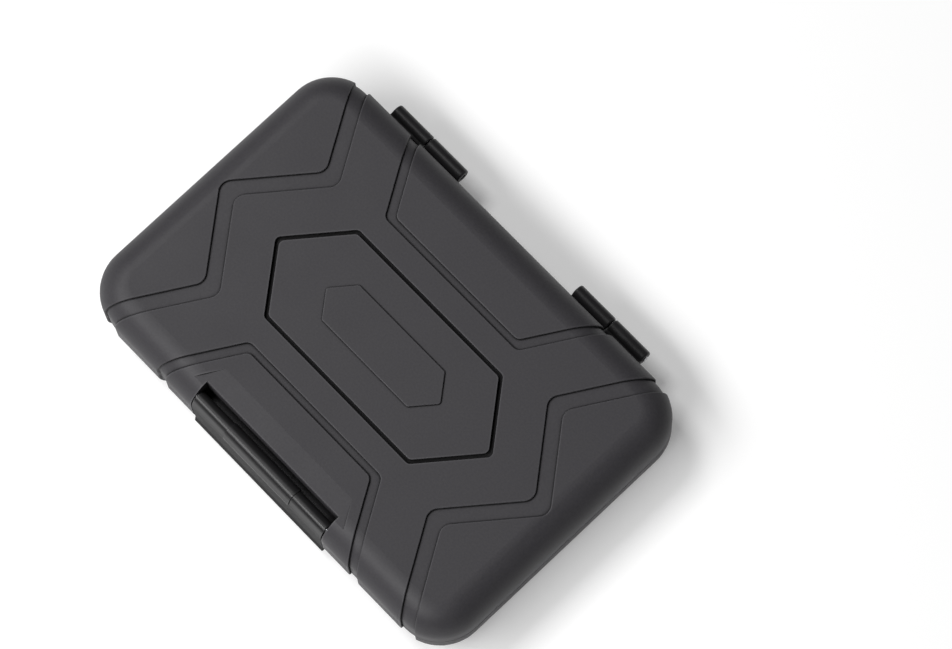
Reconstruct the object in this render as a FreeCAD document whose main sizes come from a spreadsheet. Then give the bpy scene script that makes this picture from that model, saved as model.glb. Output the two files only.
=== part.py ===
import FreeCAD, Part
import math
import os
import re

import Sketcher

# A hinged, latched case for memory cards. The model is drawn about the parting plane, z = 0, with x along
# the length, y from the latch to the hinges and z up. Each finished piece is lifted by the base's height, so
# that the case stands on the floor with its origin under its middle.

# Driving sizes, in millimetres and degrees
SIZES = {
    # Shells
    "body_length": 122,
    "body_width": 82,
    "lid_height": 11,
    "base_height": 11,
    "corner_radius": 12,
    "edge_round": 7.5,
    "wall": 4,
    "roof": 2,
    "cavity_round": 3,
    "reveal_height": 0.25,
    "reveal_depth": 0.25,
    # Recessed channels between the panels
    "channel_depth": 0.65,
    "channel_edge_round": 0.25,
    "bevel_angle": 51,
    "arm_angle": 58.7,
    "end_inset": 10.3,
    "end_knee": 19,
    "end_channel_width": 3.76,
    "end_bend_round": 3,
    "side_knee_reach": 22.2,
    "side_knee_offset": 21.5,
    "side_channel_width": 1.8,
    "arm_channel_width": 2.4,
    "side_bend_round": 2,
    # Hexagon groove and the plain raised hexagon inside it
    "groove_reach": 24.06,
    "groove_offset": 14.65,
    "groove_width": 0.95,
    "groove_depth": 1.1,
    "groove_edge_round": 0.12,
    "groove_bend_round": 1.5,
    "plateau_reach": 14.43,
    "plateau_offset": 6.06,
    "plateau_rise": 0.5,
    "plateau_bend_round": 0.8,
    "plateau_edge_round": 0.25,
    # Sloping scoop above the latch
    "scoop_reach": 21.4,
    "scoop_inset": 11,
    "scoop_slope": 5,
    # Latch slot and its boss
    "slot_reach": 22.2,
    "slot_inset": 5.9,
    "slot_depth": 6.6,
    "slot_edge_round": 0.35,
    "slot_wall": 1.6,
    "notch_depth": 1.7,
    # Latch
    "latch_inset": 2.5,
    "latch_drop": 4.1,
    "latch_barrel_radius": 1.75,
    "latch_side_gap": 0.3,
    "latch_lean": 19,
    "latch_neck_round": 0.5,
    "latch_shoulder_round": 3,
    "latch_end_round": 0.25,
    "flap_gap": 0.2,
    "flap_thickness": 1.5,
    "flap_drop": 8,
    "lip_rise": 2.4,
    "lip_reach": 0.4,
    "lip_edge": 0.8,
    "lip_round": 0.35,
    "lip_root_round": 1,
    "collar_reach": 11,
    "collar_rise": 0.25,
    "collar_tail": 1,
    # Catch on the base and its groove in the latch
    "catch_reach": 9,
    "catch_depth": 5.2,
    "catch_tip": 0.6,
    "catch_height": 1.6,
    "catch_bite": 0.8,
    "catch_root": 1,
    "catch_gap": 0.2,
    # Pins
    "latch_pin_radius": 0.75,
    "latch_pin_seat": 2,
    "hinge_pin_radius": 0.8,
    "pin_clearance": 0.05,
    "pin_recess": 0.2,
    "pin_proud": 0.25,
    "pin_end_round": 0.2,
    # Hinges
    "knuckle_radius": 1.9,
    "hinge_gap": 0.5,
    "hinge_inner_reach": 19.3,
    "hinge_middle_reach": 30.9,
    "hinge_outer_reach": 42.3,
    "knuckle_gap": 0.2,
    "knuckle_root": 1,
    "knuckle_root_height": 1.1,
    "knuckle_edge_round": 0.45,
    # Seal
    "seal_inset": 2.9,
    "seal_groove_width": 1.2,
    "seal_groove_depth": 1.4,
    "gasket_clearance": 0.1,
    "gasket_height": 1.1,
    "gasket_round": 0.35,
    "tongue_width": 0.8,
    "tongue_height": 0.25,
    # Trays
    "tray_clearance": 0.25,
    "tray_recess": 0.6,
    "large_card_length": 38.9,
    "large_card_width": 30.2,
    "large_card_depth": 4.3,
    "middle_card_length": 32.4,
    "middle_card_width": 24.4,
    "middle_card_depth": 3,
    "small_card_length": 15.4,
    "small_card_width": 11.4,
    "small_card_depth": 1.6,
    "pocket_rib": 2,
    "pocket_corner_round": 1,
    "tray_edge_round": 0.5,
    "finger_radius": 8,
    "small_finger_radius": 3.2,
    # How far a cutting shape runs past what it cuts, and how near two places count as one
    "overrun": 2,
    "nearness": 0.05,
}

FULL_TURN = 2 * math.pi
UP = FreeCAD.Vector(0, 0, 1)
ALONG_X = FreeCAD.Rotation(FreeCAD.Vector(0, 1, 0), 90)
LEFT_RIGHT = FreeCAD.Vector(1, 0, 0)
FRONT_BACK = FreeCAD.Vector(0, 1, 0)

doc = FreeCAD.newDocument("memory_card_case")
sheet = doc.addObject("Spreadsheet::Sheet", "Sizes")
for row, (size_name, size_value) in enumerate(SIZES.items(), 1):
    sheet.set(f"A{row}", size_name)
    sheet.set(f"B{row}", str(size_value))
    sheet.setAlias(f"B{row}", size_name)
doc.recompute()

# Places that several pieces share, as expressions of the sheet's sizes
HALF_LENGTH = "body_length / 2"
HALF_WIDTH = "body_width / 2"
FRONT_OUT = "(-body_width / 2 - overrun)"
BACK_OUT = "(body_width / 2 + overrun)"
HINGE_Y = "(body_width / 2 + hinge_gap + knuckle_radius)"
END_TIP = "(body_length / 2 - end_inset)"
SCOOP_Y = "(scoop_inset - body_width / 2)"
SLOT_Y = "(slot_inset - body_width / 2)"
SLOT_FLOOR = "(lid_height - slot_depth)"
LATCH_Y = "(latch_inset - body_width / 2)"
LATCH_Z = "(lid_height - latch_drop)"
NOTCH_Y = "(notch_depth - body_width / 2)"
FLAP_BACK_Y = f"({NOTCH_Y} - flap_gap)"
FLAP_FRONT_Y = f"({FLAP_BACK_Y} - flap_thickness)"
LATCH_REACH = "(slot_reach - latch_side_gap)"
LATCH_PIN_REACH = "(slot_reach + latch_pin_seat)"
BOSS_REACH = "(slot_reach + slot_wall)"
BOSS_Y = f"({SLOT_Y} + slot_wall)"
TRAY_LENGTH = "(body_length - 2 * wall - 2 * tray_clearance)"
TRAY_WIDTH = "(body_width - 2 * wall - 2 * tray_clearance)"


def in_sheet(expression):
    """An expression with each size's name pointed at its cell"""
    return re.sub(r"[a-z_]+", lambda word: f"Sizes.{word[0]}" if word[0] in SIZES else word[0], expression)


def value(expression):
    """What an expression of the sheet's sizes comes to"""
    return float(sheet.evalExpression(in_sheet(expression)))


def bind(item, expressions):
    for place, expression in expressions.items():
        item.setExpression(place, in_sheet(expression))


def finished(item, lifted):
    """Works an object out, and lifts it to its height above the floor where it is a whole piece"""
    if lifted:
        bind(item, {"Placement.Base.z": "base_height"})
    doc.recompute()
    return item


# Sketches and solids


def sketch_in(body, name, plane, height="0"):
    """An empty sketch on one of the body's own planes, moved along that plane's normal"""
    sketch = body.newObject("Sketcher::SketchObject", name)
    support = next(feature for feature in body.Origin.OriginFeatures if feature.Role == plane)
    sketch.AttachmentSupport = (support, [""])
    sketch.MapMode = "FlatFace"
    bind(sketch, {"AttachmentOffset.Base.z": height})
    return sketch


def place_point(sketch, geometry, end, point):
    """Holds one point of a sketch at a pair of expressions"""
    for kind, expression in zip(("DistanceX", "DistanceY"), point):
        index = sketch.addConstraint(Sketcher.Constraint(kind, -1, 1, geometry, end, 0))
        bind(sketch, {f"Constraints[{index}]": expression})


def add_outline(sketch, points):
    """A closed outline of straight sides whose corners are pairs of expressions"""
    first = sketch.GeometryCount
    count = len(points)
    turns = [FULL_TURN * index / count for index in range(count)]
    start = [FreeCAD.Vector(math.cos(turn), math.sin(turn), 0) for turn in turns]
    for index in range(count):
        sketch.addGeometry(Part.LineSegment(start[index], start[(index + 1) % count]), False)
    for index in range(count):
        following = first + (index + 1) % count
        sketch.addConstraint(Sketcher.Constraint("Coincident", first + index, 2, following, 1))
    for index, point in enumerate(points):
        place_point(sketch, first + index, 1, point)


def add_circle(sketch, centre, radius):
    index = sketch.addGeometry(Part.Circle(FreeCAD.Vector(0, 0, 0), UP, value(radius)), False)
    place_point(sketch, index, 3, centre)
    limit = sketch.addConstraint(Sketcher.Constraint("Radius", index, value(radius)))
    bind(sketch, {f"Constraints[{limit}]": radius})


def rectangle(half_length, half_width):
    low_x, low_y = f"-({half_length})", f"-({half_width})"
    return [(low_x, low_y), (half_length, low_y), (half_length, half_width), (low_x, half_width)]


def grown_hexagon(reach, offset, growth):
    """A hexagon with two long sides and pointed ends, moved outward by growth on every side"""
    shoulder = f"{reach} + ({growth}) * tan(bevel_angle / 2)"
    tip = f"{reach} + {offset} / tan(bevel_angle) + ({growth}) / sin(bevel_angle)"
    side = f"{offset} + ({growth})"
    corners = [(f"-({shoulder})", f"-({side})"), (shoulder, f"-({side})"), (tip, "0")]
    return corners + [(shoulder, side), (f"-({shoulder})", side), (f"-({tip})", "0")]


def new_body(name):
    return doc.addObject("PartDesign::Body", name)


def pad(body, sketch, length, symmetric=False):
    feature = body.newObject("PartDesign::Pad", f"{sketch.Name}_pad")
    feature.Profile = sketch
    feature.SideType = "Symmetric" if symmetric else "One side"
    bind(feature, {"Length": length})
    doc.recompute()
    return feature


def pocket(body, sketch, depth):
    """A cut that goes down from its sketch, and has to take something away"""
    before = body.Shape.Volume
    feature = body.newObject("PartDesign::Pocket", f"{sketch.Name}_pocket")
    feature.Profile = sketch
    bind(feature, {"Length": depth})
    doc.recompute()
    if feature.Shape.Volume >= before:
        raise RuntimeError(f"{feature.Name} cuts nothing")
    return feature


def is_upright(edge):
    """A straight edge along z"""
    if edge.Curve.TypeId != "Part::GeomLine":
        return False
    return abs(edge.Curve.Direction.z) > math.sqrt(1 / 2)


def middle(edge):
    return edge.valueAt((edge.FirstParameter + edge.LastParameter) / 2)


def edges_across(places):
    """Picks the edges whose middles lie on the plane x = 0 at these places, pairs of y and z expressions"""
    spots = [FreeCAD.Vector(0, value(y), value(z)) for y, z in places]
    near = value("nearness")
    return lambda edge: any(middle(edge).distanceToPoint(spot) < near for spot in spots)


def round_edges(body, base, wanted, radius):
    feature = body.newObject("PartDesign::Fillet", f"{base.Name}_round")
    feature.Base = (base, [f"Edge{index}" for index, edge in enumerate(base.Shape.Edges, 1) if wanted(edge)])
    bind(feature, {"Radius": radius})
    doc.recompute()
    return feature


def rounded_prism(name, inset, bottom, height, top_round=None):
    """An upright block with the case's plan, drawn in by inset all round, and maybe a rounded top edge"""
    body = new_body(name)
    sketch = sketch_in(body, f"{name}_plan", "XY_Plane", bottom)
    add_outline(sketch, rectangle(f"{HALF_LENGTH} - ({inset})", f"{HALF_WIDTH} - ({inset})"))
    block = pad(body, sketch, height)
    block = round_edges(body, block, is_upright, f"corner_radius - ({inset})")
    if top_round:
        half_way = value(f"{bottom} + ({height}) / 2")
        round_edges(body, block, lambda edge: edge.BoundBox.ZMin > half_way, top_round)
    return body


def box(name, low, high):
    """A block between two corners, each given as three expressions"""
    item = doc.addObject("Part::Box", name)
    for side, axis, start, end in zip(("Length", "Width", "Height"), "xyz", low, high):
        bind(item, {side: f"({end}) - ({start})", f"Placement.Base.{axis}": start})
    return item


def rod(name, radius, start, end, y, z):
    """A round bar along x"""
    item = doc.addObject("Part::Cylinder", name)
    item.Placement = FreeCAD.Placement(FreeCAD.Vector(0, 0, 0), ALONG_X)
    bind(item, {"Radius": radius, "Height": f"({end}) - ({start})"})
    bind(item, {"Placement.Base.x": start, "Placement.Base.y": y, "Placement.Base.z": z})
    return item


def cut(name, base, tool, lifted=False):
    item = doc.addObject("Part::Cut", name)
    item.Base = base
    item.Tool = tool
    return finished(item, lifted)


def fuse(name, items):
    item = doc.addObject("Part::MultiFuse", name)
    item.Shapes = items
    return finished(item, False)


def common(name, items):
    item = doc.addObject("Part::MultiCommon", name)
    item.Shapes = items
    return finished(item, False)


def mirror(name, source, normal, lifted=False):
    item = doc.addObject("Part::Mirroring", name)
    item.Source = source
    item.Normal = normal
    return finished(item, lifted)


def soften(name, base, wanted, radius, lifted=False):
    """Rounds the wanted edges of a solid that isn't a body"""
    item = doc.addObject("Part::Fillet", name)
    item.Base = base
    chosen = [index for index, edge in enumerate(base.Shape.Edges, 1) if wanted(edge)]
    item.Edges = [(index, value(radius), value(radius)) for index in chosen]
    return finished(item, lifted)


# Channels between the panels, cut over the edges and down the walls


def bent_channel(name, points, bend_round):
    """An upright tool through the whole case, with the bends inside the case's width rounded"""
    body = new_body(name)
    sketch = sketch_in(body, f"{name}_plan", "XY_Plane", "-base_height - overrun")
    add_outline(sketch, points)
    block = pad(body, sketch, "base_height + lid_height + 2 * overrun")
    half_width = value(HALF_WIDTH)
    is_bend = lambda edge: is_upright(edge) and abs(middle(edge).y) < half_width
    round_edges(body, block, is_bend, bend_round)
    return body


def end_channel_points():
    """The zigzag channel round the panel at one end"""
    knee = f"{END_TIP} - end_knee / tan(bevel_angle)"
    spread = "end_channel_width * (1 / sin(bevel_angle) - 1 / sin(arm_angle))"
    far_knee_y = f"end_knee + {spread} / (1 / tan(bevel_angle) + 1 / tan(arm_angle))"
    far_tip = f"{END_TIP} + end_channel_width / sin(bevel_angle)"
    far_knee = f"{far_tip} - ({far_knee_y}) / tan(bevel_angle)"
    out = f"{knee} + ({BACK_OUT} - end_knee) / tan(arm_angle)"
    far_out = f"{out} + end_channel_width / sin(arm_angle)"
    inner_half = [(out, BACK_OUT), (knee, "end_knee")]
    outer_half = [(far_out, BACK_OUT), (far_knee, far_knee_y)]
    inner = inner_half + [(END_TIP, "0")] + [(x, f"-({y})") for x, y in reversed(inner_half)]
    outer = outer_half + [(far_tip, "0")] + [(x, f"-({y})") for x, y in reversed(outer_half)]
    return inner + outer[::-1]


def side_channel_points():
    """The channel round the panel at the middle of one long side"""
    out = f"side_knee_reach + ({BACK_OUT} - side_knee_offset) / tan(arm_angle)"
    near_y = "side_knee_offset + side_channel_width"
    near = "side_knee_reach + side_channel_width / tan(arm_angle) - arm_channel_width / sin(arm_angle)"
    near_out = f"{out} - arm_channel_width / sin(arm_angle)"
    half = [(out, BACK_OUT), ("side_knee_reach", "side_knee_offset")]
    near_half = [(near_out, BACK_OUT), (near, near_y)]
    far_line = half + [(f"-({x})", y) for x, y in reversed(half)]
    near_line = near_half + [(f"-({x})", y) for x, y in reversed(near_half)]
    return far_line + near_line[::-1]


def build_channels():
    right = bent_channel("right_channel", end_channel_points(), "end_bend_round")
    back = bent_channel("back_channel", side_channel_points(), "side_bend_round")
    left = mirror("left_channel", right, LEFT_RIGHT)
    front = mirror("front_channel", back, FRONT_BACK)
    return fuse("channels", [right, left, back, front])


def build_groove(name, height):
    """The hexagon ring that is cut into a half's flat face"""
    body = new_body(f"{name}_hexagon")
    sketch = sketch_in(body, f"{name}_hexagon_plan", "XY_Plane", f"{height} - groove_depth")
    for growth in ("groove_width / 2", "-groove_width / 2"):
        add_outline(sketch, grown_hexagon("groove_reach", "groove_offset", growth))
    ring = pad(body, sketch, "groove_depth + overrun")
    round_edges(body, ring, is_upright, "groove_bend_round")
    return body


def build_relief(name, height, channels):
    """One half of the case as a solid block with its channels and groove, standing on the parting plane"""
    block = rounded_prism(f"{name}_block", "0", "0", height, "edge_round")
    core_height = f"{height} - channel_depth"
    core = rounded_prism(f"{name}_core", "channel_depth", "0", core_height, "edge_round - channel_depth")
    waste = cut(f"{name}_channel_waste", channels, core)
    groove = build_groove(name, height)
    relief = cut(f"{name}_relief", block, fuse(f"{name}_relief_cuts", [waste, groove]))
    near = value("nearness")
    skin = block.Shape.Shells[0]

    def is_rim(edge, tool):
        """Whether an edge lies on the half's outside and on a side of what was cut from it"""
        point = middle(edge)
        spot = Part.Vertex(point)
        if point.z < near or skin.distToShape(spot)[0] > near:
            return False
        return min(side.distToShape(spot)[0] for side in tool.Shape.Shells) < near

    is_groove_rim = lambda edge: is_rim(edge, groove)
    is_channel_rim = lambda edge: is_rim(edge, channels)
    grooved = soften(f"{name}_soft_groove", relief, is_groove_rim, "groove_edge_round")
    return soften(f"{name}_soft_relief", grooved, is_channel_rim, "channel_edge_round")


def build_reveal(name):
    """The shadow line where a half meets the other"""
    inner = rounded_prism(f"{name}_reveal_core", "reveal_depth", "-overrun", "reveal_height + overrun")
    outer = rounded_prism(f"{name}_reveal_skirt", "-overrun", "-overrun", "reveal_height + overrun")
    return cut(f"{name}_reveal", outer, inner)


def build_cavity(name, height):
    return rounded_prism(f"{name}_cavity", "wall", "-overrun", f"{height} - roof + overrun", "cavity_round")


def build_ring(name, width, bottom, height):
    """A ring that runs round the rim, centred on the seal's line"""
    outer = rounded_prism(f"{name}_outer", f"seal_inset - ({width}) / 2", bottom, height)
    core_bottom, core_height = f"{bottom} - overrun", f"{height} + 2 * overrun"
    inner = rounded_prism(f"{name}_inner", f"seal_inset + ({width}) / 2", core_bottom, core_height)
    return cut(name, outer, inner)


# Hinges


def build_knuckles(name, start, end, root_bottom, root_top):
    """The barrels of one half on both hinges, each with the root that joins it to the wall"""
    low = (start, f"{HALF_WIDTH} - knuckle_root", root_bottom)
    high = (end, HINGE_Y, root_top)
    barrel = rod(f"{name}_barrel", "knuckle_radius", start, end, HINGE_Y, "0")
    root = box(f"{name}_root", low, high)
    right = fuse(f"{name}_right_knuckle", [barrel, root])
    hinge_line = value(HINGE_Y)
    is_round_end = lambda edge: edge.Curve.TypeId == "Part::GeomCircle" and middle(edge).y > hinge_line
    soft = soften(f"{name}_right_soft_knuckle", right, is_round_end, "knuckle_edge_round")
    return [soft, mirror(f"{name}_left_knuckle", soft, LEFT_RIGHT)]


def build_bores(name, radius, start, end):
    right = rod(f"{name}_right_bore", radius, f"{start} - overrun", f"{end} + overrun", HINGE_Y, "0")
    left = mirror(f"{name}_left_bore", right, LEFT_RIGHT)
    return fuse(f"{name}_bores", [right, left])


# Lid


def build_plateau():
    """The plain raised hexagon in the middle of the lid"""
    body = new_body("plateau")
    sketch = sketch_in(body, "plateau_plan", "XY_Plane", "lid_height - roof / 2")
    add_outline(sketch, grown_hexagon("plateau_reach", "plateau_offset", "0"))
    block = pad(body, sketch, "roof / 2 + plateau_rise")
    block = round_edges(body, block, is_upright, "plateau_bend_round")
    lid_top = value("lid_height")
    round_edges(body, block, lambda edge: edge.BoundBox.ZMin > lid_top, "plateau_edge_round")
    return body


def build_scoop():
    """The shallow slope in front of the front panel, above the latch"""
    plan_block = new_body("scoop_plan_block")
    plan = sketch_in(plan_block, "scoop_plan", "XY_Plane")
    out = f"scoop_reach + ({SCOOP_Y} - {FRONT_OUT}) / tan(arm_angle)"
    far_corners = [("scoop_reach", SCOOP_Y), ("-scoop_reach", SCOOP_Y)]
    add_outline(plan, [(f"-({out})", FRONT_OUT), (out, FRONT_OUT)] + far_corners)
    pad(plan_block, plan, "lid_height + overrun")
    slope_block = new_body("scoop_slope_block")
    side = sketch_in(slope_block, "scoop_slope_side", "YZ_Plane")
    back_y = f"({SCOOP_Y} + overrun)"
    top_z = "lid_height + overrun"
    add_outline(side, [
        (FRONT_OUT, f"lid_height + ({FRONT_OUT} - {SCOOP_Y}) * tan(scoop_slope)"),
        (back_y, "lid_height + overrun * tan(scoop_slope)"),
        (back_y, top_z),
        (FRONT_OUT, top_z),
    ])
    pad(slope_block, side, "body_length", symmetric=True)
    return common("scoop", [plan_block, slope_block])


def build_slot():
    """The latch's slot, open at the front and the top"""
    low = ("-slot_reach", FRONT_OUT, SLOT_FLOOR)
    return box("latch_slot", low, ("slot_reach", SLOT_Y, "lid_height + overrun"))


def build_lid(channels):
    relief = build_relief("lid", "lid_height", channels)
    tongue = build_ring("tongue", "tongue_width", "-tongue_height", "tongue_height")
    solid = fuse("lid_solid", [relief, build_plateau(), tongue])
    notch_top = f"{SLOT_FLOOR} + overrun"
    notch = box("lid_notch", ("-slot_reach", FRONT_OUT, "-overrun"), ("slot_reach", NOTCH_Y, notch_top))
    boss_low = (f"-{BOSS_REACH}", FRONT_OUT, "-2 * overrun")
    boss = box("latch_boss", boss_low, (BOSS_REACH, BOSS_Y, "lid_height"))
    hollow = cut("lid_hollow", build_cavity("lid", "lid_height"), boss)
    pin_ends = (f"-{LATCH_PIN_REACH}", LATCH_PIN_REACH)
    pin_hole = rod("latch_pin_hole", "latch_pin_radius", *pin_ends, LATCH_Y, LATCH_Z)
    cuts = [hollow, build_slot(), notch, build_scoop(), pin_hole, build_reveal("lid")]
    shell = cut("lid_cut", solid, fuse("lid_cuts", cuts))
    slot_rim = edges_across([(SLOT_Y, f"lid_height + ({SLOT_Y} - {SCOOP_Y}) * tan(scoop_slope)")])
    shell = soften("lid_soft_slot", shell, slot_rim, "slot_edge_round")
    start, end = "hinge_middle_reach + knuckle_gap / 2", "hinge_outer_reach"
    knuckles = build_knuckles("lid", start, end, "0", "knuckle_root_height")
    whole = fuse("lid_whole", [shell] + knuckles)
    bores = build_bores("lid", "hinge_pin_radius + pin_clearance", start, end)
    return cut("lid_shell", whole, bores, lifted=True)


# Base


def build_catch():
    """The rib on the base's front that the latch hooks under: flat below, sloping above"""
    body = new_body("catch")
    side = sketch_in(body, "catch_side", "YZ_Plane")
    root_y = f"{NOTCH_Y} + catch_root"
    tip_y = f"{NOTCH_Y} - catch_bite"
    top_z = "catch_height - catch_depth"
    add_outline(side, [
        (root_y, "-catch_depth"),
        (root_y, top_z),
        (NOTCH_Y, top_z),
        (tip_y, "catch_tip - catch_depth"),
        (tip_y, "-catch_depth"),
    ])
    pad(body, side, "2 * catch_reach", symmetric=True)
    return body


def build_base(channels):
    """The lower half: its outside, cavity and shadow line are drawn upright and turned over"""
    flipped = mirror("flipped_channels", channels, UP)
    relief = mirror("base_relief_down", build_relief("base", "base_height", flipped), UP)
    reveal = mirror("base_reveal_down", build_reveal("base"), UP)
    hollow = mirror("base_hollow_down", build_cavity("base", "base_height"), UP)
    notch_low = ("-slot_reach", FRONT_OUT, "-base_height - overrun")
    notch = box("base_notch", notch_low, ("slot_reach", NOTCH_Y, "overrun"))
    groove_height = "seal_groove_depth + overrun"
    seal_groove = build_ring("seal_groove", "seal_groove_width", "-seal_groove_depth", groove_height)
    shell = cut("base_cut", relief, fuse("base_cuts", [notch, reveal, hollow, seal_groove]))
    start, end = "hinge_inner_reach", "hinge_middle_reach - knuckle_gap / 2"
    knuckles = build_knuckles("base", start, end, "-knuckle_root_height", "0")
    whole = fuse("base_whole", [shell, build_catch()] + knuckles)
    bores = build_bores("base", "hinge_pin_radius", start, end)
    return cut("base_shell", whole, bores, lifted=True)


# Latch


def build_latch():
    """A barrel in the lid's slot with a flap that hangs over the base's front"""
    body = new_body("latch")
    touch_y = f"({LATCH_Y} - latch_barrel_radius * cos(latch_lean))"
    touch_z = f"({LATCH_Z} + latch_barrel_radius * sin(latch_lean))"
    shoulder_z = f"({touch_z} - ({touch_y} - {FLAP_FRONT_Y}) / tan(latch_lean))"
    lip_y = f"({FLAP_FRONT_Y} - lip_reach)"
    bottom_back = (FLAP_BACK_Y, "-flap_drop")
    lip_bottom, lip_top = (lip_y, "-flap_drop"), (lip_y, "lip_edge - flap_drop")
    lip_root, shoulder = (FLAP_FRONT_Y, "lip_rise - flap_drop"), (FLAP_FRONT_Y, shoulder_z)
    axle = (LATCH_Y, LATCH_Z)
    back_top = (FLAP_BACK_Y, f"{LATCH_Z} - latch_barrel_radius / 2")
    across = f"2 * {LATCH_REACH}"

    # Flap and barrel
    side = sketch_in(body, "flap_side", "YZ_Plane")
    front_line = [bottom_back, lip_bottom, lip_top, lip_root, shoulder, (touch_y, touch_z)]
    add_outline(side, front_line + [axle, back_top])
    solid = pad(body, side, across, symmetric=True)
    solid = round_edges(body, solid, edges_across([bottom_back, lip_bottom, lip_top]), "lip_round")
    solid = round_edges(body, solid, edges_across([lip_root]), "lip_root_round")
    solid = round_edges(body, solid, edges_across([shoulder]), "latch_shoulder_round")
    end = sketch_in(body, "barrel_end", "YZ_Plane")
    add_circle(end, axle, "latch_barrel_radius")
    solid = pad(body, end, across, symmetric=True)
    neck_drop = f"sqrt(latch_barrel_radius ^ 2 - ({FLAP_BACK_Y} - {LATCH_Y}) ^ 2)"
    neck = (FLAP_BACK_Y, f"{LATCH_Z} - {neck_drop}")
    solid = round_edges(body, solid, edges_across([neck]), "latch_neck_round")
    reach = value(f"{LATCH_REACH} - nearness")
    round_edges(body, solid, lambda edge: abs(middle(edge).x) > reach, "latch_end_round")

    # Thicker collar in the middle of the barrel, with a face that runs down into the flap
    collar_radius = "(latch_barrel_radius + collar_rise)"
    face_y = f"({LATCH_Y} - {collar_radius} * cos(latch_lean))"
    face_z = f"({LATCH_Z} + {collar_radius} * sin(latch_lean))"
    face = sketch_in(body, "collar_side", "YZ_Plane")
    add_outline(face, [
        axle,
        (face_y, face_z),
        (FLAP_FRONT_Y, f"{face_z} - ({face_y} - {FLAP_FRONT_Y}) / tan(latch_lean)"),
        (FLAP_FRONT_Y, f"{shoulder_z} - collar_tail"),
        (FLAP_BACK_Y, f"{shoulder_z} - collar_tail"),
        back_top,
    ])
    pad(body, face, "2 * collar_reach", symmetric=True)
    collar = sketch_in(body, "collar_end", "YZ_Plane")
    add_circle(collar, axle, collar_radius)
    pad(body, collar, "2 * collar_reach", symmetric=True)

    # Groove for the catch, and the bore for the pin
    groove = sketch_in(body, "catch_groove_side", "YZ_Plane", f"{LATCH_REACH} + overrun")
    groove_y, open_y = f"{NOTCH_Y} - catch_bite - catch_gap", f"{FLAP_BACK_Y} + overrun"
    groove_low, groove_high = "-catch_depth - catch_gap", "catch_height - catch_depth + catch_gap"
    low_edge, high_edge = [(groove_y, groove_low), (open_y, groove_low)], [(open_y, groove_high)]
    add_outline(groove, low_edge + high_edge + [(groove_y, groove_high)])
    pocket(body, groove, f"{across} + 2 * overrun")
    bore = sketch_in(body, "pin_bore_end", "YZ_Plane", f"{LATCH_REACH} + overrun")
    add_circle(bore, axle, "latch_pin_radius + pin_clearance")
    pocket(body, bore, f"{across} + 2 * overrun")
    return finished(body, True)


# Seal and trays


def build_gasket():
    width = "seal_groove_width - 2 * gasket_clearance"
    ring = build_ring("gasket_ring", width, "-seal_groove_depth", "gasket_height")
    half_way = value("gasket_height / 2 - seal_groove_depth")
    is_top = lambda edge: edge.BoundBox.ZMin > half_way
    return soften("gasket", ring, is_top, "gasket_round", lifted=True)


def how_many(total, card):
    """How many cards of one size fit along a total with at least a rib before, between and after them"""
    return math.floor(value(f"({total} - pocket_rib) / ({card} + pocket_rib)"))


def spaced(total, sizes):
    """The gap that spaces these sizes evenly along a total, as an expression"""
    return f"(({total}) - ({' + '.join(sizes)})) / {len(sizes) + 1}"


def pocket_outline(x, y, length, width):
    """A rectangle from its low corner"""
    far_x, far_y = f"{x} + {length}", f"{y} + {width}"
    return [(x, y), (far_x, y), (far_x, far_y), (x, far_y)]


def build_tray_block(name, height):
    """A soft insert that stands on the floor of a half, open upwards"""
    body = new_body(name)
    sketch = sketch_in(body, f"{name}_plan", "XY_Plane", f"roof - {height}")
    add_outline(sketch, rectangle(f"{TRAY_LENGTH} / 2", f"{TRAY_WIDTH} / 2"))
    block = pad(body, sketch, f"{height} - roof - tray_recess")
    block = round_edges(body, block, is_upright, "corner_radius - wall - tray_clearance")
    half_way = value(f"(roof - {height} - tray_recess) / 2")
    round_edges(body, block, lambda edge: edge.BoundBox.ZMax < half_way, "cavity_round")
    return body


def cut_pockets(body, name, outlines, depth):
    """Pockets of one depth, cut from the tray's face, with rounded corners"""
    sketch = sketch_in(body, name, "XY_Plane", "-tray_recess")
    for points in outlines:
        add_outline(sketch, points)
    feature = pocket(body, sketch, depth)
    half_length = value(f"{TRAY_LENGTH} / 2 - pocket_corner_round")
    half_width = value(f"{TRAY_WIDTH} / 2 - pocket_corner_round")

    def is_pocket_corner(edge):
        point = middle(edge)
        return is_upright(edge) and abs(point.x) < half_length and abs(point.y) < half_width

    return round_edges(body, feature, is_pocket_corner, "pocket_corner_round")


def cut_finger_notches(body, name, centres, radius, depth):
    sketch = sketch_in(body, name, "XY_Plane", "-tray_recess")
    for centre in centres:
        add_circle(sketch, centre, radius)
    return pocket(body, sketch, depth)


def soften_tray(body):
    """Rounds the edges of the pockets' mouths and of the tray's face"""
    face = value("tray_recess + nearness")
    is_mouth = lambda edge: edge.BoundBox.ZMin > -face
    round_edges(body, body.Tip, is_mouth, "tray_edge_round")


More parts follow.
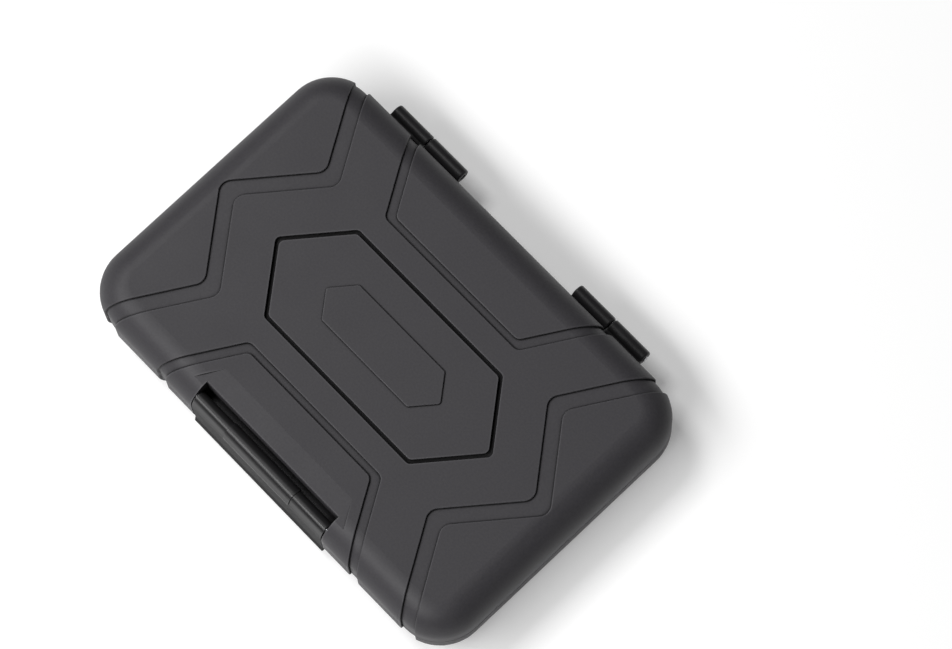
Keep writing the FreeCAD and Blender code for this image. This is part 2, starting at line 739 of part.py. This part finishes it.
def build_base_tray():
    """Columns of large card pockets and one of middle ones"""
    body = build_tray_block("base_tray", "base_height")
    left, front = f"-{TRAY_LENGTH} / 2", f"-{TRAY_WIDTH} / 2"
    columns = how_many(f"({TRAY_LENGTH} - middle_card_width - pocket_rib)", "large_card_length")
    large_rows = how_many(TRAY_WIDTH, "large_card_width")
    middle_rows = how_many(TRAY_WIDTH, "middle_card_length")
    gap_x = spaced(TRAY_LENGTH, ["large_card_length"] * columns + ["middle_card_width"])
    large_gap_y = spaced(TRAY_WIDTH, ["large_card_width"] * large_rows)
    middle_gap_y = spaced(TRAY_WIDTH, ["middle_card_length"] * middle_rows)
    large, large_notches = [], []
    for column in range(columns):
        x = f"{left} + {column + 1} * ({gap_x}) + {column} * large_card_length"
        for row in range(large_rows):
            y = f"{front} + {row + 1} * ({large_gap_y}) + {row} * large_card_width"
            large.append(pocket_outline(x, y, "large_card_length", "large_card_width"))
        rib_y = f"{front} + large_card_width + ({large_gap_y}) + ({large_gap_y}) / 2"
        large_notches.append((f"{x} + large_card_length / 2", rib_y))
    x = f"{left} + {columns + 1} * ({gap_x}) + {columns} * large_card_length"
    middle_sized = []
    for row in range(middle_rows):
        y = f"{front} + {row + 1} * ({middle_gap_y}) + {row} * middle_card_length"
        middle_sized.append(pocket_outline(x, y, "middle_card_width", "middle_card_length"))
    rib_y = f"{front} + middle_card_length + ({middle_gap_y}) + ({middle_gap_y}) / 2"
    middle_notch = (f"{x} + middle_card_width / 2", rib_y)
    cut_pockets(body, "large_pockets", large, "large_card_depth")
    cut_pockets(body, "base_middle_pockets", middle_sized, "middle_card_depth")
    cut_finger_notches(body, "large_notches", large_notches, "finger_radius", "large_card_depth")
    cut_finger_notches(body, "base_middle_notch", [middle_notch], "finger_radius", "middle_card_depth")
    soften_tray(body)
    return finished(body, True)


def build_lid_tray():
    """A row of middle card pockets behind rows of small ones, drawn open upwards and then turned over"""
    body = build_tray_block("lid_tray_upright", "lid_height")
    left = f"-{TRAY_LENGTH} / 2"
    front = f"({BOSS_Y} + tray_clearance)"
    depth = f"({TRAY_WIDTH} / 2 - {front})"
    small_rows = how_many(f"({depth} - middle_card_length - pocket_rib)", "small_card_width")
    middle_columns = how_many(TRAY_LENGTH, "middle_card_width")
    small_columns = how_many(TRAY_LENGTH, "small_card_length")
    gap_y = spaced(depth, ["small_card_width"] * small_rows + ["middle_card_length"])
    middle_gap_x = spaced(TRAY_LENGTH, ["middle_card_width"] * middle_columns)
    small_gap_x = spaced(TRAY_LENGTH, ["small_card_length"] * small_columns)
    middle_y = f"{front} + {small_rows + 1} * ({gap_y}) + {small_rows} * small_card_width"
    middle_sized = []
    for column in range(middle_columns):
        x = f"{left} + {column + 1} * ({middle_gap_x}) + {column} * middle_card_width"
        middle_sized.append(pocket_outline(x, middle_y, "middle_card_width", "middle_card_length"))
    small, small_notches = [], []
    for column in range(small_columns):
        x = f"{left} + {column + 1} * ({small_gap_x}) + {column} * small_card_length"
        for row in range(small_rows):
            y = f"{front} + {row + 1} * ({gap_y}) + {row} * small_card_width"
            small.append(pocket_outline(x, y, "small_card_length", "small_card_width"))
        rib_y = f"{front} + small_card_width + ({gap_y}) + ({gap_y}) / 2"
        small_notches.append((f"{x} + small_card_length / 2", rib_y))
    cut_pockets(body, "lid_middle_pockets", middle_sized, "middle_card_depth")
    cut_pockets(body, "small_pockets", small, "small_card_depth")
    cut_finger_notches(body, "small_notches", small_notches, "small_finger_radius", "small_card_depth")
    boss = sketch_in(body, "boss_notch", "XY_Plane", "overrun")
    reach = f"({BOSS_REACH} + tray_clearance)"
    add_outline(boss, [(f"-{reach}", FRONT_OUT), (reach, FRONT_OUT), (reach, front), (f"-{reach}", front)])
    pocket(body, boss, "lid_height + overrun")
    soften_tray(body)
    return mirror("lid_tray", body, UP, lifted=True)


# Hinge pins, sunk at their inner ends and proud of the knuckles at their outer ones


def build_hinge_pin(name, start, end):
    bar = rod(f"{name}_bar", "hinge_pin_radius", start, end, HINGE_Y, "base_height")
    doc.recompute()
    return soften(name, bar, lambda edge: edge.BoundBox.XLength < value("nearness"), "pin_end_round")


# The pieces, by the names of their files
channels = build_channels()
pin_start, pin_end = "(hinge_inner_reach + pin_recess)", "(hinge_outer_reach + pin_proud)"
latch_pin_ends = (f"-{LATCH_PIN_REACH}", LATCH_PIN_REACH)
latch_pin_z = f"base_height + {LATCH_Z}"
pieces = {
    "lid_shell": build_lid(channels),
    "base_shell": build_base(channels),
    "latch": build_latch(),
    "latch_pin": rod("latch_pin", "latch_pin_radius", *latch_pin_ends, LATCH_Y, latch_pin_z),
    "left_hinge_pin": build_hinge_pin("left_hinge_pin", f"-{pin_end}", f"-{pin_start}"),
    "right_hinge_pin": build_hinge_pin("right_hinge_pin", pin_start, pin_end),
    "gasket": build_gasket(),
    "base_tray": build_base_tray(),
    "lid_tray": build_lid_tray(),
}
for label, piece in pieces.items():
    piece.Label = label
doc.recompute()

for item in doc.Objects:
    if "Invalid" in item.State or "Error" in item.State:
        raise RuntimeError(f"{item.Name} failed: {item.State}")
for label, piece in pieces.items():
    if piece.Shape.isNull() or not piece.Shape.isValid():
        raise RuntimeError(f"{label} has no valid shape")
    if len(piece.Shape.Solids) != 1:
        raise RuntimeError(f"{label} has {len(piece.Shape.Solids)} solids")

os.makedirs("parts", exist_ok=True)
for label, piece in pieces.items():
    piece.Shape.exportStep(f"parts/{label}.step")
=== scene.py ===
import math

import bpy
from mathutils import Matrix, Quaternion, Vector


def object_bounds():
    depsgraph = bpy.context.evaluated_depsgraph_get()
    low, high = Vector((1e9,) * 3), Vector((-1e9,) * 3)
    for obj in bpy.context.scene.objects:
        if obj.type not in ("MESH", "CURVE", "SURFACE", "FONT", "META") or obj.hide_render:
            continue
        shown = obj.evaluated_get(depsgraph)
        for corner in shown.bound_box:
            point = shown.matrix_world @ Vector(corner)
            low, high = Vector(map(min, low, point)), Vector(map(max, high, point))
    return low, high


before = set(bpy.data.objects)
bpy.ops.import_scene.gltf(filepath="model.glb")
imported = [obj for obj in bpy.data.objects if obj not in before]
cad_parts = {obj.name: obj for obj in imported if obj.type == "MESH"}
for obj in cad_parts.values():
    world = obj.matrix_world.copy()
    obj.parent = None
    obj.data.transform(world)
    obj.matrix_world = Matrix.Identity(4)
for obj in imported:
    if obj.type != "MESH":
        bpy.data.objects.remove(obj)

# A closed hard case for memory cards, in dark moulded plastic, seen from above on a pale floor. Lengths are
# in metres, in the case's own frame: x along its length, y from the latch to the hinges, z up.
cad_low, cad_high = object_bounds()
MM = 0.001

# Camera, with its lens and sensor in millimetres
CAMERA_PLACE = Vector((212.9, -142.0, 989.0)) * MM
CAMERA_TARGET = Vector((11.18, 18.98, 22.0)) * MM
CAMERA_ROLL = math.radians(-5.23)
CAMERA_LENS = 163.6
CAMERA_SENSOR = 36
CAMERA_REACH = 20

# Floor and world
FLOOR_SIZE = 8
FLOOR_GAP = 0.02 * MM
FLOOR_COLOUR = (0.82, 0.82, 0.82, 1)
FLOOR_GLOW = 0.25
WORLD_COLOUR = (1, 1, 1, 1)
WORLD_STRENGTH = 0.06

# Softboxes, all aimed at the case, with their power in watts
SOFTBOXES = {
    "overhead_softbox": {"place": (-0.65, -0.05, 1.2), "size": (0.4, 0.4), "power": 6.8},
    "front_softbox": {"place": (-0.2, -0.8, 1.05), "size": (1.4, 0.4), "power": 17.2},
}
SOFTBOX_TARGET = (0, 0, 0)

# Plastics: each has a main finish, and another that takes over along an axis of the piece, from other_start
# to other_end. The shells have a spark-eroded grain and smoother hinge barrels, whose darker colour is partly
# their finish and partly painted shade. The latch is smoother, with a duller grip below.
SHELL = {
    "colour": (0.037, 0.0352, 0.0393, 1),
    "speck_colour": (0.0435, 0.0416, 0.0458, 1),
    # Crest colour: a painted highlight along the crests
    "crest_highlight_colour": (0.09, 0.0875, 0.094, 1),
    "roughness": 0.53,
    "specular": 0.3,
    "other_axis": "Y",
    "other_start": 41.15 * MM,
    "other_end": 41.25 * MM,
    # Darker hinge barrels: partly their own finish, partly painted shade
    "other_colour": (0.019, 0.0184, 0.0197, 1),
    "other_roughness": 0.42,
    "grain_depth": 0.01 * MM,
}
LATCH = {
    "colour": (0.0102, 0.0098, 0.0106, 1),
    "speck_colour": (0.0122, 0.0118, 0.0126, 1),
    # Crest colour: a painted highlight along the crests
    "crest_highlight_colour": (0.03, 0.0295, 0.0313, 1),
    "roughness": 0.36,
    "specular": 0.38,
    "other_axis": "Z",
    "other_start": 17 * MM,
    "other_end": 15 * MM,
    "other_colour": (0.008, 0.0077, 0.0083, 1),
    "other_roughness": 0.8,
    "grain_depth": 0.003 * MM,
}
GRAIN_SIZE = 0.22 * MM
GRAIN_DETAIL = 2
SPECK_SIZE = 0.5 * MM
SPECK_DETAIL = 1
CLOUD_SIZE = 14 * MM
CLOUD_DETAIL = 3
ROUGHNESS_SWING = 0.04

# Crests of the plastics, which get a painted highlight and a little polish, and painted shade in their
# hollows, narrow ones and deep ones. A fade is how open a place is where the effect is full, and where it
# ends.
CREST_REACH = 0.5 * MM
CREST_FADE = (0.5, 0.9)
CREST_POLISH = 0.15
# How strong the painted highlight on the crests is, in patches
LEAST_CREST_HIGHLIGHT = 0.6
MOST_CREST_HIGHLIGHT = 1
# Painted shade: the colour that narrow and deep hollows darken to
PAINTED_SHADE_COLOUR = (0.004, 0.0038, 0.0042, 1)
HOLLOW_DULLING = 0.35
NARROW_REACH = 0.9 * MM
NARROW_FADE = (0.5, 0.8)
DEEP_REACH = 4 * MM
DEEP_FADE = (0.6, 0.82)

# Rubbers
TRAY = {
    "colour": (0.033, 0.033, 0.0355, 1),
    "dust_colour": (0.08, 0.078, 0.075, 1),
    "roughness": 0.72,
}
GASKET = {
    "colour": (0.023, 0.023, 0.0243, 1),
    "dust_colour": (0.04, 0.04, 0.04, 1),
    "roughness": 0.55,
}
DUST_REACH = 1.2 * MM
DUST_FADE = (0.3, 0.9)
LEAST_DUST = 0.1
MOST_DUST = 0.5
RUBBER_CLOUD_SIZE = 9 * MM
RUBBER_GRAIN_SIZE = 0.3 * MM
RUBBER_GRAIN_DEPTH = 0.01 * MM
RUBBER_SWING = 0.06

# Steel pins, drawn along x
STEEL_COLOUR = (0.62, 0.62, 0.64, 1)
STEEL_LINE_COLOUR = (0.5, 0.5, 0.52, 1)
STEEL_SMOOTHEST = 0.22
STEEL_ROUGHEST = 0.38
LINE_SIZE = 0.15 * MM
LINE_DETAIL = 2
LINE_DEPTH = 0.002 * MM
LINE_STRETCH = (0.04, 1, 1)

# Nodes: the span that noise mostly keeps to, how many rays feel for near surfaces, and the numbers of the
# sockets of a colour mix
NOISE_SPAN = (0.3, 0.7)
WHOLE_SPAN = (0, 1)
OPENNESS_SAMPLES = 6
MIX_FACTOR, MIX_FIRST, MIX_SECOND = 0, 6, 7
MIX_RESULT = 2


# Node helpers


def new_material(name):
    """A material, its node tree and its shader"""
    material = bpy.data.materials.new(name)
    material.use_nodes = True
    shader = material.node_tree.nodes["Principled BSDF"]
    shader.distribution = "GGX"
    return material, material.node_tree, shader


def feed(tree, socket, value):
    """Links a socket to what feeds it, or sets it"""
    if isinstance(value, bpy.types.NodeSocket):
        tree.links.new(value, socket)
    else:
        socket.default_value = value


def add_node(tree, kind, inputs, **settings):
    """A new node with its settings made and its inputs fed"""
    node = tree.nodes.new(kind)
    for name, setting in settings.items():
        setattr(node, name, setting)
    for name, value in inputs.items():
        feed(tree, node.inputs[name], value)
    return node


def own_place(tree):
    """Where a point lies on its piece, at rest"""
    return add_node(tree, "ShaderNodeTexCoord", {}).outputs["Object"]


def noise(tree, size, detail, stretch=(1, 1, 1)):
    """Soft noise from about 0 to 1, with blotches about this long"""
    scaled = add_node(tree, "ShaderNodeMapping", {"Vector": own_place(tree), "Scale": stretch})
    inputs = {"Vector": scaled.outputs["Vector"], "Scale": 1 / size, "Detail": detail}
    return add_node(tree, "ShaderNodeTexNoise", inputs).outputs[0]


def between(tree, factor, low, high, span=NOISE_SPAN):
    """A value that goes from low to high as the factor goes over its span"""
    start, end = span
    inputs = {"Value": factor, "From Min": start, "From Max": end, "To Min": low, "To Max": high}
    return add_node(tree, "ShaderNodeMapRange", inputs).outputs["Result"]


def worked_out(tree, operation, *values):
    """The result of a sum"""
    node = add_node(tree, "ShaderNodeMath", {}, operation=operation)
    for socket, value in zip(node.inputs, values):
        feed(tree, socket, value)
    return node.outputs["Value"]


def mixed(tree, factor, first, second):
    """A colour between two others"""
    node = add_node(tree, "ShaderNodeMix", {}, data_type="RGBA")
    feed(tree, node.inputs[MIX_FACTOR], factor)
    feed(tree, node.inputs[MIX_FIRST], first)
    feed(tree, node.inputs[MIX_SECOND], second)
    return node.outputs[MIX_RESULT]


def closeness(tree, reach, fade, inside=False):
    """1 in a piece's hollows or, felt from inside, on its crests, fading to 0 where it is open"""
    settings = {"inside": inside, "only_local": True, "samples": OPENNESS_SAMPLES}
    openness = add_node(tree, "ShaderNodeAmbientOcclusion", {"Distance": reach}, **settings).outputs["AO"]
    return between(tree, openness, 1, 0, fade)


def bump(tree, shader, height, depth):
    """Raises and sinks the surface a little"""
    inputs = {"Height": height, "Distance": depth, "Strength": 1}
    feed(tree, shader.inputs["Normal"], add_node(tree, "ShaderNodeBump", inputs).outputs["Normal"])


# Materials


def other_finish(tree, look):
    """0 where a plastic has its main finish, and 1 where it has the other"""
    along = add_node(tree, "ShaderNodeSeparateXYZ", {"Vector": own_place(tree)}).outputs[look["other_axis"]]
    return between(tree, along, 0, 1, (look["other_start"], look["other_end"]))


def plastic(name, look):
    """Moulded plastic with a fine grain, a painted highlight on its crests, which are also a little smoother,
    and painted shade in its hollows
    """
    material, tree, shader = new_material(name)
    other = other_finish(tree, look)
    cloud = noise(tree, CLOUD_SIZE, CLOUD_DETAIL)
    # Painted highlight on the crests, stronger in patches
    crest = closeness(tree, CREST_REACH, CREST_FADE, inside=True)
    crest_highlight = worked_out(tree, "MULTIPLY", crest, between(tree, cloud, LEAST_CREST_HIGHLIGHT, MOST_CREST_HIGHLIGHT))
    # Painted shade in narrow and deep hollows
    narrow = closeness(tree, NARROW_REACH, NARROW_FADE)
    deep = closeness(tree, DEEP_REACH, DEEP_FADE)
    hollow = worked_out(tree, "MAXIMUM", narrow, deep)

    speck = between(tree, noise(tree, SPECK_SIZE, SPECK_DETAIL), 0, 1)
    grained = mixed(tree, speck, look["colour"], look["speck_colour"])
    moulded = mixed(tree, other, grained, look["other_colour"])
    # Darkens the hollows with painted shade, then lightens the crests with a painted highlight
    with_painted_shade = mixed(tree, hollow, moulded, PAINTED_SHADE_COLOUR)
    feed(tree, shader.inputs["Base Color"], mixed(tree, crest_highlight, with_painted_shade, look["crest_highlight_colour"]))

    plain = between(tree, other, look["roughness"], look["other_roughness"], WHOLE_SPAN)
    swing = between(tree, cloud, -ROUGHNESS_SWING, ROUGHNESS_SWING)
    dulling = worked_out(tree, "MULTIPLY", hollow, HOLLOW_DULLING)
    polish = worked_out(tree, "MULTIPLY", crest_highlight, CREST_POLISH)
    swung = worked_out(tree, "ADD", plain, swing)
    dulled = worked_out(tree, "ADD", swung, dulling)
    feed(tree, shader.inputs["Roughness"], worked_out(tree, "SUBTRACT", dulled, polish))
    feed(tree, shader.inputs["Specular IOR Level"], look["specular"])
    bump(tree, shader, noise(tree, GRAIN_SIZE, GRAIN_DETAIL), look["grain_depth"])
    return material


def rubber(name, look):
    """Soft rubber with a fine grain and a little dust in its hollows"""
    material, tree, shader = new_material(name)
    cloud = noise(tree, RUBBER_CLOUD_SIZE, CLOUD_DETAIL)
    hollow = closeness(tree, DUST_REACH, DUST_FADE)
    dust = worked_out(tree, "MULTIPLY", hollow, between(tree, cloud, LEAST_DUST, MOST_DUST))
    feed(tree, shader.inputs["Base Color"], mixed(tree, dust, look["colour"], look["dust_colour"]))
    swing = between(tree, cloud, -RUBBER_SWING, RUBBER_SWING)
    feed(tree, shader.inputs["Roughness"], worked_out(tree, "ADD", swing, look["roughness"]))
    bump(tree, shader, noise(tree, RUBBER_GRAIN_SIZE, GRAIN_DETAIL), RUBBER_GRAIN_DEPTH)
    return material


def steel(name):
    """Drawn steel wire with fine lines along its length"""
    material, tree, shader = new_material(name)
    lines = noise(tree, LINE_SIZE, LINE_DETAIL, LINE_STRETCH)
    feed(tree, shader.inputs["Base Color"], mixed(tree, lines, STEEL_COLOUR, STEEL_LINE_COLOUR))
    feed(tree, shader.inputs["Roughness"], between(tree, lines, STEEL_SMOOTHEST, STEEL_ROUGHEST))
    feed(tree, shader.inputs["Metallic"], 1)
    bump(tree, shader, lines, LINE_DEPTH)
    return material


def floor_material():
    """A pale floor that glows a little to the eye and in reflections, and keeps the case's shadow"""
    material = bpy.data.materials.new("floor")
    material.use_nodes = True
    tree = material.node_tree
    tree.nodes.remove(tree.nodes["Principled BSDF"])
    path = add_node(tree, "ShaderNodeLightPath", {})
    seen = path.outputs["Is Camera Ray"]
    for kind in ("Is Glossy Ray", "Is Transmission Ray"):
        seen = worked_out(tree, "MAXIMUM", seen, path.outputs[kind])
    glow = add_node(tree, "ShaderNodeEmission", {"Strength": worked_out(tree, "MULTIPLY", seen, FLOOR_GLOW)})
    plain = add_node(tree, "ShaderNodeBsdfDiffuse", {"Color": FLOOR_COLOUR})
    both = add_node(tree, "ShaderNodeAddShader", {})
    for socket, part in zip(both.inputs, (glow, plain)):
        tree.links.new(part.outputs[0], socket)
    tree.links.new(both.outputs[0], tree.nodes["Material Output"].inputs["Surface"])
    return material


def dress(nodes, material):
    """Gives pieces their material"""
    for node in nodes:
        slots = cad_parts[node].data.materials
        slots.clear()
        slots.append(material)


# Stage


def add_floor():
    """A square floor just under the case"""
    half = FLOOR_SIZE / 2
    height = cad_low.z - FLOOR_GAP
    mesh = bpy.data.meshes.new("floor")
    corners = [(-half, -half, height), (half, -half, height), (half, half, height), (-half, half, height)]
    mesh.from_pydata(corners, [], [(0, 1, 2, 3)])
    mesh.materials.append(floor_material())
    floor = bpy.data.objects.new("floor", mesh)
    bpy.context.scene.collection.objects.link(floor)


def aimed(item, place, target):
    """Puts a camera or a lamp at a place, pointed at a target, and gives its turn"""
    item.location = place
    item.rotation_mode = "QUATERNION"
    item.rotation_quaternion = (Vector(target) - Vector(place)).to_track_quat("-Z", "Y")
    bpy.context.scene.collection.objects.link(item)
    return item.rotation_quaternion


def add_softbox(name, place, size, power):
    """A lamp that the camera doesn't see"""
    light = bpy.data.lights.new(name, "AREA")
    light.shape = "RECTANGLE"
    light.size, light.size_y = size
    light.energy = power
    lamp = bpy.data.objects.new(name, light)
    lamp.visible_camera = False
    aimed(lamp, place, SOFTBOX_TARGET)


def light_world():
    """A faint even light from all round"""
    world = bpy.data.worlds.new("studio")
    world.use_nodes = True
    background = world.node_tree.nodes["Background"]
    background.inputs["Color"].default_value = WORLD_COLOUR
    background.inputs["Strength"].default_value = WORLD_STRENGTH
    bpy.context.scene.world = world


def add_camera():
    """A camera high above the case, a little to its right and front, and rolled"""
    data = bpy.data.cameras.new("camera")
    data.lens = CAMERA_LENS
    data.sensor_width = CAMERA_SENSOR
    data.clip_end = CAMERA_REACH
    camera = bpy.data.objects.new("camera", data)
    turn = aimed(camera, CAMERA_PLACE, CAMERA_TARGET)
    camera.rotation_quaternion = turn @ Quaternion((0, 0, 1), CAMERA_ROLL)
    bpy.context.scene.camera = camera


dress(["lid_shell", "base_shell"], plastic("shell_plastic", SHELL))
dress(["latch"], plastic("latch_plastic", LATCH))
dress(["latch_pin", "left_hinge_pin", "right_hinge_pin"], steel("steel"))
dress(["base_tray", "lid_tray"], rubber("tray_rubber", TRAY))
dress(["gasket"], rubber("gasket_rubber", GASKET))

add_floor()
for name, softbox in SOFTBOXES.items():
    add_softbox(name, **softbox)
light_world()
add_camera()
bpy.context.scene.view_settings.view_transform = "Standard"
